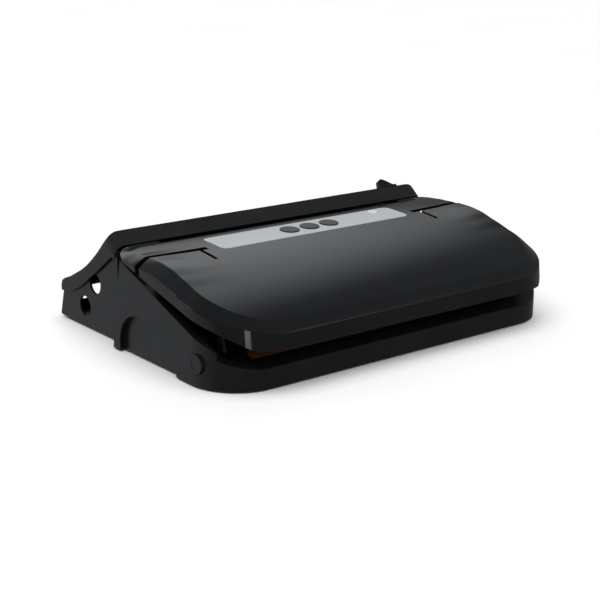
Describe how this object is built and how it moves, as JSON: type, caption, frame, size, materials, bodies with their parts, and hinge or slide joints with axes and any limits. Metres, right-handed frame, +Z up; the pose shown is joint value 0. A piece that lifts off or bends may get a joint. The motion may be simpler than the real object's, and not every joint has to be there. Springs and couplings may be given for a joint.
{
  "type": "vacuum sealer",
  "caption": "Countertop bag sealer with a curved hinged lid, push buttons, a taped sealing bar in a sloping base, and a roll compartment with a hinged cover and sliding cutter behind.",
  "frame": {"origin": "on the resting plane under the middle of the object's outline", "axes": "+X along the width to the right as seen from the front, +Y to the rear, +Z up"},
  "size_m": [0.4, 0.3114, 0.1101],
  "materials": {
    "black_gloss": "gloss",
    "black_satin": "satin",
    "black_matt": "matt",
    "dark_plastic": "satin",
    "silver": "satin",
    "rubber_black": "matt",
    "foam_black": "matt",
    "tape_brown": "satin",
    "wire": "satin",
    "steel": "satin",
    "motor_steel": "satin",
    "board_green": "gloss",
    "copper": "gloss",
    "hose": "satin",
    "lens_clear": "gloss",
    "strip_grey": "matt",
    "sensor_blue": "satin"
  },
  "bodies": {
    "base": {"base_cover": "black_matt", "base_housing": "black_satin", "rubber_feet": "rubber_black", "drip_tray": "dark_plastic", "lower_gasket": "foam_black", "heater_bar": "dark_plastic", "heating_wire": "wire", "tape_strip": "tape_brown", "pump_motor": "motor_steel", "pump_head": "dark_plastic", "pump_bracket": "steel", "vacuum_hose": "hose", "vacuum_sensor": "sensor_blue", "transformer_core": "motor_steel", "transformer_coil": "copper", "power_board": "board_green", "board_parts": "dark_plastic", "power_inlet": "black_matt", "lid_switch": "dark_plastic", "case_screws": "steel", "hinge_pins": "steel", "lid_springs": "steel", "roll_tray": "black_satin", "end_plate_left": "black_satin", "end_plate_right": "black_satin", "cover_pins": "black_matt", "release_springs": "steel"},
    "lid": {"lid_shell": "black_gloss", "lid_liner": "black_satin", "control_plate": "silver", "control_board": "board_green", "push_switches": "dark_plastic", "indicator_lens": "lens_clear", "press_strip": "strip_grey", "upper_gasket": "foam_black", "latch_hooks": "black_satin", "liner_screws": "steel"},
    "roll_lid": {"roll_cover": "black_matt", "cutter_rail": "dark_plastic"},
    "cutter": {"cutter_slider": "black_satin", "cutter_blade": "steel"},
    "release_l": {"release_button_left": "black_satin", "catch_left": "steel"},
    "release_r": {"release_button_right": "black_satin", "catch_right": "steel"},
    "key_vacuum": {"vacuum_button": "dark_plastic"},
    "key_seal": {"seal_button": "dark_plastic"},
    "key_mode": {"mode_button": "dark_plastic"}
  },
  "joints": [
    {"name": "lid_hinge", "type": "hinge", "parent": "base", "child": "lid", "pos_m": [0, 0.02817, 0.08711], "axis": [-1, 0, 0], "range_deg": [-6, 60]},
    {"name": "cover_hinge", "type": "hinge", "parent": "base", "child": "roll_lid", "pos_m": [0, 0.13767, 0.0358], "axis": [-1, 0, 0], "range_deg": [0, 75]},
    {"name": "cutter_slide", "type": "slide", "parent": "roll_lid", "child": "cutter", "axis": [1, 0, 0], "range_m": [-0.31, 0.002]},
    {"name": "release_left_press", "type": "slide", "parent": "base", "child": "release_l", "axis": [1, 0, 0], "range_m": [0, 0.003], "stiffness_N_per_m": 400, "springref_m": -0.001},
    {"name": "release_right_press", "type": "slide", "parent": "base", "child": "release_r", "axis": [-1, 0, 0], "range_m": [0, 0.003], "stiffness_N_per_m": 400, "springref_m": -0.001},
    {"name": "vacuum_button_press", "type": "slide", "parent": "lid", "child": "key_vacuum", "axis": [0, 0.0555, -0.9985], "range_m": [0, 0.0008], "stiffness_N_per_m": 250, "springref_m": -0.0005},
    {"name": "seal_button_press", "type": "slide", "parent": "lid", "child": "key_seal", "axis": [0, 0.0555, -0.9985], "range_m": [0, 0.0008], "stiffness_N_per_m": 250, "springref_m": -0.0005},
    {"name": "mode_button_press", "type": "slide", "parent": "lid", "child": "key_mode", "axis": [0, 0.0555, -0.9985], "range_m": [0, 0.0008], "stiffness_N_per_m": 250, "springref_m": -0.0005}
  ]
}
